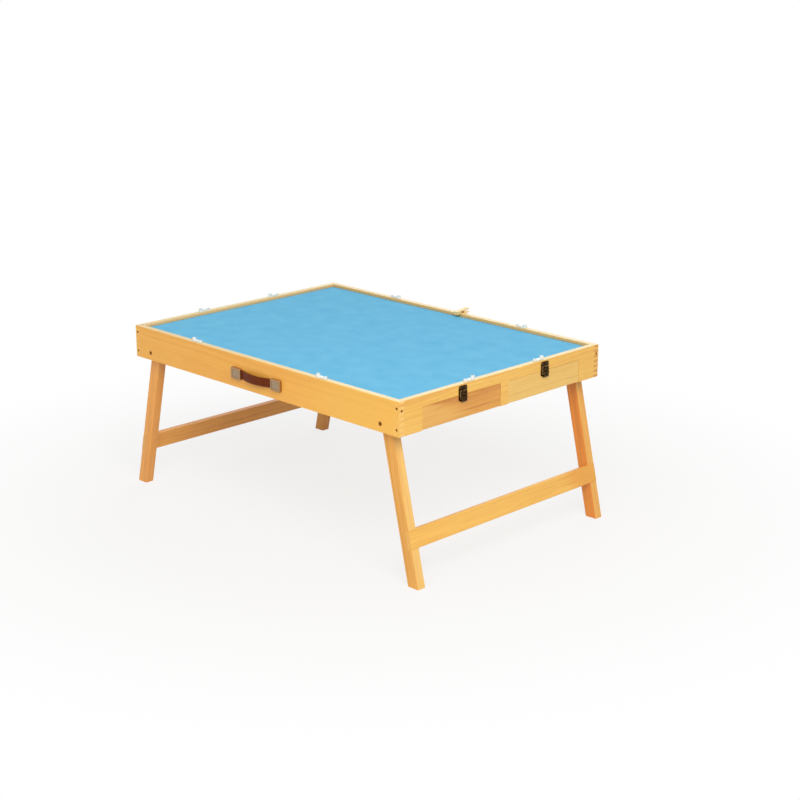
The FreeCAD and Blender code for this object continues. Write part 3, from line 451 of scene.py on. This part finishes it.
brass = antiquedBrass("antiquedBrass", bronze["plateRub"])
wireBrass = antiquedBrass("rubbedBrassWire", bronze["wireRub"])
bronzed, zinc, champagne, polished, nylon = (cloudySkin(name) for name in skins)
for node in cadNodes:
    if node.startswith("latch_bail"):
        dress(node, wireBrass)
    elif node.startswith("latch_"):
        dress(node, brass)
    elif node.startswith("turn_clip_"):
        dress(node, nylon)
for node in ("corner_screws", "pivot_bolts", "picture_clip_spring"):
    dress(node, bronzed)
for node in ("pivot_washers", "pivot_nuts", "handle_screws", "turn_clip_screws"):
    dress(node, zinc)
dress("handle_caps", champagne)
print("metals and plastic finished")


# Edges that the solids leave sharp, broken by sandpaper or rounded by the press: bevel width in mm

edgeWidths = {
    "drawer_front": 0.5, "drawer_walls": 0.5, "leg_stop": 0.5, "centre_runners": 0.4, "side_runners": 0.4,
    "latch_lever": 0.22, "latch_catches": 0.18,
}
edgeLimits = {"weld": 0.002, "angle": 34.0, "segments": 2}


def softenEdges(piece, widthMm):
    weld = piece.modifiers.new("weldedSeams", "WELD")
    weld.merge_threshold = edgeLimits["weld"] * mm
    bevel = piece.modifiers.new("brokenEdges", "BEVEL")
    bevel.width = widthMm * mm
    bevel.segments = edgeLimits["segments"]
    bevel.limit_method = "ANGLE"
    bevel.angle_limit = math.radians(edgeLimits["angle"])
    bevel.miter_outer = "MITER_ARC"
    bevel.use_clamp_overlap = True
    flatten = piece.modifiers.new("evenShading", "WEIGHTED_NORMAL")
    flatten.keep_sharp = False


for node, piece in cadNodes.items():
    for kind, widthMm in edgeWidths.items():
        if node.startswith(kind):
            softenEdges(piece, widthMm)
            break
print("edges softened")


# New pieces

def makePiece(name, shape, material, body):
    bmesh.ops.recalc_face_normals(shape, faces=shape.faces)
    mesh = bpy.data.meshes.new(name)
    shape.to_mesh(mesh)
    shape.free()
    mesh.materials.append(material)
    piece = bpy.data.objects.new(name, mesh)
    bpy.context.scene.collection.objects.link(piece)
    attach(piece, body)
    return piece


def smooth(piece):
    for face in piece.data.polygons:
        face.use_smooth = True


def joinLoops(shape, loops):
    count = len(loops[0])
    for first, second in zip(loops, loops[1:]):
        for i in range(count):
            after = (i + 1) % count
            shape.faces.new((first[i], first[after], second[after], second[i]))


def closeLoops(shape, loops):
    joinLoops(shape, loops)
    shape.faces.new(loops[0])
    shape.faces.new(list(reversed(loops[-1])))


# Pressed wool felt, dyed sky blue: matt, cloudy, with a short nap that lifts the light at a low angle.
# Felt fibres are 0.02 mm thick, so the nap is drawn as 2 mm tufts.

felt = {"dark": "#5CB5E0", "light": "#7ACAEC", "tuft": 2.0, "tuftDetail": 5.0, "tuftRoughness": 0.65,
        "cloud": 45.0, "cloudDetail": 3.0, "cloudShare": 0.6, "toneSpan": (0.5, 1.1), "napHeight": 0.25,
        "roughness": 0.95, "specular": 0.05, "sheen": 0.06, "sheenRoughness": 0.6, "cells": (112, 80),
        "ripple": 0.22, "rippleSize": 60.0, "rippleSeed": 0.37, "edgeDrop": 0.8, "edgeRound": 2.0}


def pressedFelt():
    material, tree, shader = newFinish("pressedFelt", {
        "Roughness": felt["roughness"], "Specular IOR Level": felt["specular"],
        "Sheen Weight": felt["sheen"], "Sheen Roughness": felt["sheenRoughness"]})
    place = addNode(tree, "TexCoord", {})["Object"]
    tuft = addNode(tree, "TexNoise", {"Vector": place, "Scale": perMetre(felt["tuft"]),
                                      "Detail": felt["tuftDetail"], "Roughness": felt["tuftRoughness"]})[0]
    cloud = addNode(tree, "TexNoise", {"Vector": place, "Scale": perMetre(felt["cloud"]),
                                       "Detail": felt["cloudDetail"]})[0]
    mixed = addNode(tree, "Math", {0: cloud, 1: felt["cloudShare"], 2: tuft}, operation="MULTIPLY_ADD")[0]
    start, full = felt["toneSpan"]
    tone = addNode(tree, "MapRange", {0: mixed, 1: start, 2: full})[0]
    colour = addNode(tree, "Mix", {0: tone, 6: linear(felt["dark"]), 7: linear(felt["light"])},
                     data_type="RGBA")[2]
    bump = addNode(tree, "Bump", {"Height": tuft, "Strength": 1.0, "Distance": felt["napHeight"] * mm})[0]
    linkShader(tree, shader, {"Base Color": colour, "Normal": bump})
    return material


def layFelt():
    low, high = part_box("felt_mat")
    columns, rows = felt["cells"]
    shape = bmesh.new()
    topGrid, bottomGrid = [], []
    for row in range(rows + 1):
        for column in range(columns + 1):
            x = low.x + (high.x - low.x) * column / columns
            y = low.y + (high.y - low.y) * row / rows
            edge = min(x - low.x, high.x - x, y - low.y, high.y - y)
            ripple = noise.noise(Vector((x, y, felt["rippleSeed"])) * perMetre(felt["rippleSize"]))
            top = high.z - felt["ripple"] * mm * (1 - ripple) / 2
            if edge < felt["edgeRound"] * mm:
                top -= felt["edgeDrop"] * mm
            topGrid.append(shape.verts.new((x, y, top)))
            bottomGrid.append(shape.verts.new((x, y, low.z)))
    wide = columns + 1
    for row in range(rows):
        for column in range(columns):
            corner = row * wide + column
            ring = (corner, corner + 1, corner + wide + 1, corner + wide)
            shape.faces.new([topGrid[i] for i in ring])
            shape.faces.new([bottomGrid[i] for i in reversed(ring)])
    border = [*range(columns), *(columns + row * wide for row in range(rows)),
              *(rows * wide + columns - step for step in range(columns)),
              *((rows - step) * wide for step in range(rows))]
    for here, after in zip(border, border[1:] + border[:1]):
        shape.faces.new((topGrid[here], bottomGrid[here], bottomGrid[after], topGrid[after]))
    sheet = makePiece("feltSheet", shape, pressedFelt(), "table_top")
    smooth(sheet)
    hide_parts("felt_mat")


layFelt()
print("felt laid")


# Cowhide, dyed red-brown and rolled smooth: fine pebbled grain, darker in the creases, waxy gloss.
# The strap's profile and underside are points across it in mm, each with a share of its thickness.

strap = {"dark": "#5A2106", "light": "#743511", "pebble": 1.2, "pebbleShare": -0.35, "pebbleHeight": 0.06,
         "crease": 7.0, "creaseDetail": 4.0, "creaseSpan": (0.3, 0.7), "toneSpan": (0.1, 0.6),
         "roughness": (0.42, 0.6), "specular": 0.12, "thickness": 3.0, "capLength": 32.0,
         "footRadius": 30.0, "straightSteps": 6, "arcSteps": 14,
         "profile": ((-10.5, 0.55), (-10.1, 0.95), (-9.4, 1.0), (-8.4, 0.86), (-7.5, 0.93), (-4.3, 1.0),
                     (0.0, 1.03),
                     (4.3, 1.0), (7.5, 0.93), (8.4, 0.86), (9.4, 1.0), (10.1, 0.95), (10.5, 0.55)),
         "underside": ((10.2, 0.1), (9.3, 0.0), (0.0, 0.0), (-9.3, 0.0), (-10.2, 0.1))}

stitch = {"tones": ("#6F351C", "#91502D"), "roughness": 0.5, "specular": 0.4, "twist": 1.1, "slant": 40.0,
          "unevenness": 0.5, "relief": 0.08, "pitch": 4.6, "length": 3.5, "radius": 0.36, "row": 8.4,
          "height": 0.88, "rounds": (0.0, 0.18, 0.5, 0.82, 1.0), "swell": (0.25, 0.85, 1.0, 0.85, 0.25),
          "sink": (0.5, 0.1, 0.0, 0.1, 0.5), "sides": 8}


def dyedLeather():
    material, tree, shader = newFinish("dyedLeather", {"Specular IOR Level": strap["specular"]})
    place = addNode(tree, "TexCoord", {})["Object"]
    pebble = addNode(tree, "TexVoronoi", {"Vector": place, "Scale": perMetre(strap["pebble"])})["Distance"]
    crease = addNode(tree, "TexNoise", {"Vector": place, "Scale": perMetre(strap["crease"]),
                                        "Detail": strap["creaseDetail"]})[0]
    mixed = addNode(tree, "Math", {0: pebble, 1: strap["pebbleShare"], 2: crease},
                    operation="MULTIPLY_ADD")[0]
    start, full = strap["toneSpan"]
    tone = addNode(tree, "MapRange", {0: mixed, 1: start, 2: full})[0]
    colour = addNode(tree, "Mix", {0: tone, 6: linear(strap["dark"]), 7: linear(strap["light"])},
                     data_type="RGBA")[2]
    start, full = strap["creaseSpan"]
    low, high = strap["roughness"]
    rough = addNode(tree, "MapRange", {0: crease, 1: start, 2: full, 3: low, 4: high})[0]
    bump = addNode(tree, "Bump", {"Height": pebble, "Strength": 1.0,
                                  "Distance": -strap["pebbleHeight"] * mm})[0]
    linkShader(tree, shader, {"Base Color": colour, "Roughness": rough, "Normal": bump})
    return material


def strapLine():
    # (x, y, lean) along the strap's underside, from the left end to the right: flat under a cap,
    # a foot arc away from the board, the long crown arc, and the same back again
    low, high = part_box("handle_strap")
    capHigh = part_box("handle_caps")[1]
    reach = capHigh.x - strap["capLength"] * mm
    rise = high.y - low.y - strap["thickness"] * mm
    foot = strap["footRadius"] * mm
    turn = 2 * math.atan2(rise, reach)
    crown = (reach - foot * math.sin(turn)) / math.sin(turn)
    back = high.y
    half = []
    for step in range(strap["arcSteps"] + 1):
        angle = turn * step / strap["arcSteps"]
        half.append((crown * math.sin(angle), back - rise + crown * (1 - math.cos(angle)), angle))
    for step in range(1, strap["arcSteps"] + 1):
        angle = turn * (1 - step / strap["arcSteps"])
        half.append((reach - foot * math.sin(angle), back - foot * (1 - math.cos(angle)), angle))
    for step in range(1, strap["straightSteps"] + 1):
        half.append((reach + (high.x - reach) * step / strap["straightSteps"], back, 0.0))
    return [(-x, y, -lean) for x, y, lean in reversed(half[1:])] + half, (low.z + high.z) / 2


def sewStrap():
    line, middle = strapLine()
    thick = strap["thickness"] * mm
    section = [(z * mm, share * thick) for z, share in strap["profile"] + strap["underside"]]
    shape = bmesh.new()
    loops = []
    for x, y, lean in line:
        outward = Vector((math.sin(lean), -math.cos(lean), 0))
        loops.append([shape.verts.new(Vector((x, y, middle + z)) + outward * out) for z, out in section])
    closeLoops(shape, loops)
    leather = makePiece("leatherStrap", shape, dyedLeather(), "table_top")
    smooth(leather)
    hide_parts("handle_strap")


def waxedThread():
    # twisted polyester thread, waxed: slanting plies that catch the light
    material, tree, shader = newFinish("waxedThread", {
        "Roughness": stitch["roughness"], "Specular IOR Level": stitch["specular"]})
    place = addNode(tree, "TexCoord", {})["Object"]
    slant = addNode(tree, "Mapping", {
        "Vector": place, "Rotation": (0, math.radians(stitch["slant"]), 0)})[0]
    # the wave node draws about pi bands for each unit of its scale
    plies = addNode(tree, "TexWave", {"Vector": slant, "Scale": perMetre(stitch["twist"]) / math.pi,
                                      "Distortion": stitch["unevenness"]}, bands_direction="X")[1]
    first, second = (linear(colour) for colour in stitch["tones"])
    colour = addNode(tree, "Mix", {0: plies, 6: first, 7: second}, data_type="RGBA")[2]
    bump = addNode(tree, "Bump", {"Height": plies, "Strength": 1.0, "Distance": stitch["relief"] * mm})[0]
    linkShader(tree, shader, {"Base Color": colour, "Normal": bump})
    return material


def stitchStrap():
    # two rows of saddle stitches along the bowed part, each a short thread that dips at its ends
    line, middle = strapLine()
    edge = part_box("handle_caps")[1].x - strap["capLength"] * mm
    path = [(Vector((x, y, 0)), lean) for x, y, lean in line]
    marks = [0.0]
    for here, after in zip(path, path[1:]):
        marks.append(marks[-1] + (after[0] - here[0]).length)

    def along(distance):
        step = next(i for i in range(len(path) - 1) if distance <= marks[i + 1])
        share = (distance - marks[step]) / (marks[step + 1] - marks[step])
        (first, firstLean), (second, secondLean) = path[step], path[step + 1]
        lean = firstLean + (secondLean - firstLean) * share
        return first.lerp(second, share), Vector((math.sin(lean), -math.cos(lean), 0))

    pitch, long, radius = (stitch[key] * mm for key in ("pitch", "length", "radius"))
    seat = stitch["height"] * strap["thickness"] * mm
    angles = [math.tau * index / stitch["sides"] for index in range(stitch["sides"])]
    shape = bmesh.new()

    def addStitch(distance, height):
        loops = []
        for share, swell, sink in zip(stitch["rounds"], stitch["swell"], stitch["sink"]):
            centre, out = along(distance + (share - 0.5) * long)
            centre = centre + out * (seat - sink * radius)
            centre.z = height
            ring = []
            for angle in angles:
                offset = out * math.cos(angle) + Vector((0, 0, 1)) * math.sin(angle)
                ring.append(shape.verts.new(centre + offset * radius * swell))
            loops.append(ring)
        closeLoops(shape, loops)

    for row in (-stitch["row"] * mm, stitch["row"] * mm):
        distance = pitch / 2
        while distance < marks[-1]:
            if abs(along(distance)[0].x) < edge - long:
                addStitch(distance, middle + row)
            distance += pitch
    thread = makePiece("strapStitches", shape, waxedThread(), "table_top")
    smooth(thread)


sewStrap()
stitchStrap()
print("strap sewn")


# Bright panel set in each cap's sunk square: a thin pillowed plate, as (inset, height) in layers

panel = {"inset": 5.3, "sink": 0.6, "corner": 1.4, "arcSteps": 5,
         "layers": ((0.0, 0.0), (0.0, 0.25), (0.35, 0.42), (2.2, 0.5))}


def squareLoop(halfWide, halfTall, corner, steps):
    points = []
    for quarter, (wayX, wayZ) in enumerate(((1, 1), (-1, 1), (-1, -1), (1, -1))):
        for step in range(steps + 1):
            angle = math.pi / 2 * (quarter + step / steps)
            points.append((wayX * (halfWide - corner) + corner * math.cos(angle),
                           wayZ * (halfTall - corner) + corner * math.sin(angle)))
    return points


def setPanels():
    low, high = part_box("handle_caps")
    halfCap = strap["capLength"] / 2
    halfWide = halfCap - panel["inset"]
    halfTall = (high.z - low.z) / mm / 2 - panel["inset"]
    shape = bmesh.new()
    for way in (-1, 1):
        centre = Vector((way * (high.x - halfCap * mm), low.y + panel["sink"] * mm, (low.z + high.z) / 2))
        loops = []
        for inset, height in panel["layers"]:
            outline = squareLoop(halfWide - inset, halfTall - inset, panel["corner"], panel["arcSteps"])
            loops.append([shape.verts.new(centre + Vector((x, -height, z)) * mm) for x, z in outline])
        closeLoops(shape, loops)
    makePiece("capPanels", shape, polished, "table_top")


setPanels()
print("cap panels set")


# Cross-recess screws: a crowned head with a cross pressed into it, over a cone or a pan, and a shank.
# A profile is (radius, height) in mm, from the head's rim down to the tip.

screws = {
    "corner": {"head": 3.0, "crown": 0.12, "cross": 0.6, "pit": 1.2, "pitTaper": 0.55,
               "profile": ((3.0, -0.06), (1.6, -2.4), (1.6, -31.0), (0.2, -34.0))},
    "clip": {"head": 2.5, "crown": 0.9, "cross": 0.6, "pit": 0.7, "pitTaper": 0.6,
             "profile": ((2.5, -0.1), (2.5, -1.0), (1.5, -1.0), (1.5, -17.5), (0.2, -19.0))},
    "latch": {"head": 1.5, "crown": 0.45, "cross": 0.62, "pit": 0.25, "pitTaper": 0.6,
              "profile": ((1.5, -0.1), (1.5, -0.3), (0.8, -0.3), (0.8, -0.9))},
}
crossSteps = 12
rimSteps = 2 * crossSteps
crownShare = 0.9
cornerScrewPlaces = {"longFace": (442.5, 325.0, (394.0, 348.0)), "shortFace": (450.0, 317.5, 389.0)}
clipScrewHeight = 417.4
latchScrewPlaces = {"face": 451.3, "middle": 134.0, "catch": (7.6, 402.2), "plate": (4.2, 377.0)}


def addCrossScrew(shape, at, axis, kind):
    look = screws[kind]
    turn = Vector(axis).to_track_quat("Z", "Y").to_matrix()
    start = Vector(at) * mm

    def put(x, y, z):
        return shape.verts.new(start + turn @ Vector((x, y, z)) * mm)

    def dome(x, y):
        return look["crown"] * (1 - (x * x + y * y) / look["head"] ** 2)

    arm = look["cross"] * look["head"]
    thin = arm * math.tan(math.pi / crossSteps)
    cross = []
    for quarter in range(4):
        turned = Matrix.Rotation(math.pi / 2 * quarter, 2)
        cross += [turned @ Vector(corner) for corner in ((arm, -thin), (arm, thin), (thin, thin))]
    lip = [put(x, y, dome(x, y)) for x, y in cross]
    pit = [put(x * look["pitTaper"], y * look["pitTaper"], -look["pit"]) for x, y in cross]
    shape.faces.new(pit)
    joinLoops(shape, [lip, pit])
    nearRim = crownShare * look["head"]
    angles = [math.tau * (step - 1) / rimSteps for step in range(rimSteps)]
    loops = []
    for radius, height in ((nearRim, dome(nearRim, 0)), *look["profile"]):
        loops.append([put(radius * math.cos(a), radius * math.sin(a), height) for a in angles])
    ring = loops[0]
    for i in range(crossSteps):
        after = (i + 1) % crossSteps
        first, between, last = ring[2 * i], ring[2 * i + 1], ring[(2 * i + 2) % rimSteps]
        shape.faces.new((lip[i], first, between))
        shape.faces.new((lip[i], between, lip[after]))
        shape.faces.new((lip[after], between, last))
    joinLoops(shape, loops)
    shape.faces.new(loops[-1])


def driveCornerScrews():
    shape = bmesh.new()
    x, y, heights = cornerScrewPlaces["longFace"]
    endX, endY, endHeight = cornerScrewPlaces["shortFace"]
    for wayX in (-1, 1):
        for wayY in (-1, 1):
            for height in heights:
                addCrossScrew(shape, (wayX * x, wayY * y, height), (0, wayY, 0), "corner")
            addCrossScrew(shape, (wayX * endX, wayY * endY, endHeight), (wayX, 0, 0), "corner")
    piece = makePiece("crossHeadCornerScrews", shape, bronzed, "table_top")
    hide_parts("corner_screws")


def driveClipScrews():
    shape = bmesh.new()
    for joint in frame["record"]["behaviour"]["joints"]:
        if joint["name"].startswith("turn_clip_"):
            x, y = joint["pos_m"][:2]
            addCrossScrew(shape, (x / mm, y / mm, clipScrewHeight), (0, 0, 1), "clip")
    piece = makePiece("panHeadClipScrews", shape, zinc, "table_top")
    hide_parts("turn_clip_screws")


def driveLatchScrews():
    face, middle = latchScrewPlaces["face"], latchScrewPlaces["middle"]
    catch = bmesh.new()
    for endName, wayX in (("right", 1), ("left", -1)):
        for sideName, wayY in (("front", -1), ("back", 1)):
            plate = bmesh.new()
            for shape, place in ((catch, "catch"), (plate, "plate")):
                reach, height = latchScrewPlaces[place]
                for across in (-reach, reach):
                    at = (wayX * face, wayY * middle + across, height)
                    addCrossScrew(shape, at, (wayX, 0, 0), "latch")
            drawer = endName + "_" + sideName
            makePiece("plateScrews_" + drawer, plate, brass, "drawer_" + drawer)
    makePiece("catchScrews", catch, brass, "table_top")


driveCornerScrews()
driveClipScrews()
driveLatchScrews()
print("screws driven")


# Stage, light and camera, in metres

stage = {"floor": "#E3E2DF", "roughness": 0.9, "size": 120.0, "shadowShare": 0.78,
         "shadowReach": (0.5, 1.4), "worldLight": 0.378, "aim": (0.0, 0.0, 0.3)}
lamps = {
    "keyLamp": {"place": (3.01, -2.09, 3.38), "size": 2.8, "power": 151.0},
    "fillLamp": {"place": (0.8, -3.2, 2.0), "size": 2.6, "power": 23.4},
    "backLamp": {"place": (-1.6, 2.7, 2.3), "size": 2.6, "power": 30.6},
}
camera = {"place": (2.7654, -2.6322, 1.4098), "azimuth": 45.07, "elevation": 16.93, "focal": 1670.5,
          "frameWidth": 800, "sensor": 36.0}   # focal and frameWidth in pixels, sensor in mm
white = (1, 1, 1, 1)


def seenShare(tree):
    # one for rays that show the background: straight from the camera, mirrored, or through glass
    path = addNode(tree, "LightPath", {})
    mirrored = addNode(tree, "Math", {0: path["Is Camera Ray"], 1: path["Is Glossy Ray"]},
                       operation="MAXIMUM")[0]
    return addNode(tree, "Math", {0: mirrored, 1: path["Is Transmission Ray"]}, operation="MAXIMUM")[0]


def layFloor():
    shape = bmesh.new()
    bmesh.ops.create_grid(shape, x_segments=1, y_segments=1, size=stage["size"] / 2)
    mesh = bpy.data.meshes.new("paleFloor")
    shape.to_mesh(mesh)
    shape.free()
    floor = bpy.data.objects.new("paleFloor", mesh)
    bpy.context.scene.collection.objects.link(floor)
    material, tree, shader = newFinish("paintedFloor", {
        "Base Color": linear(stage["floor"]), "Roughness": stage["roughness"], "Specular IOR Level": 0.0})
    glow = addNode(tree, "Emission", {"Color": white, "Strength": 1.0})[0]
    # near the table the floor keeps its shadow, and further out it turns to plain white
    place = addNode(tree, "TexCoord", {})["Object"]
    distance = addNode(tree, "VectorMath", {0: place}, operation="LENGTH")["Value"]
    near, far = stage["shadowReach"]
    plain = addNode(tree, "MapRange", {0: distance, 1: near, 2: far, 3: stage["shadowShare"], 4: 1.0},
                    interpolation_type="SMOOTHSTEP")[0]
    share = addNode(tree, "Math", {0: seenShare(tree), 1: plain}, operation="MULTIPLY")[0]
    surface = addNode(tree, "MixShader", {0: share, 1: shader.outputs[0], 2: glow})[0]
    tree.links.new(surface, tree.nodes["Material Output"].inputs["Surface"])
    mesh.materials.append(material)


def lightStage():
    world = bpy.data.worlds.new("whiteStudio")
    world.use_nodes = True
    bpy.context.scene.world = world
    sky = world.node_tree
    level = addNode(sky, "MapRange", {0: seenShare(sky), 3: stage["worldLight"], 4: 1.0})[0]
    background = sky.nodes["Background"]
    background.inputs["Color"].default_value = white
    sky.links.new(level, background.inputs["Strength"])
    aim = Vector(stage["aim"])
    for name, lamp in lamps.items():
        light = bpy.data.lights.new(name, "AREA")
        light.size = lamp["size"]
        light.energy = lamp["power"]
        holder = bpy.data.objects.new(name, light)
        holder.location = lamp["place"]
        holder.rotation_euler = (aim - holder.location).to_track_quat("-Z", "Y").to_euler()
        bpy.context.scene.collection.objects.link(holder)


def setCamera():
    lens = bpy.data.cameras.new("photoCamera")
    lens.sensor_width = camera["sensor"]
    lens.lens = camera["focal"] / camera["frameWidth"] * camera["sensor"]
    holder = bpy.data.objects.new("photoCamera", lens)
    azimuth, elevation = math.radians(camera["azimuth"]), math.radians(camera["elevation"])
    back = Vector((math.sin(azimuth) * math.cos(elevation), -math.cos(azimuth) * math.cos(elevation),
                   math.sin(elevation)))
    holder.location = camera["place"]
    holder.rotation_euler = (-back).to_track_quat("-Z", "Y").to_euler()
    bpy.context.scene.collection.objects.link(holder)
    bpy.context.scene.camera = holder


layFloor()
lightStage()
setCamera()
bpy.context.scene.view_settings.view_transform = "Standard"
print("stage, lamps and camera set")
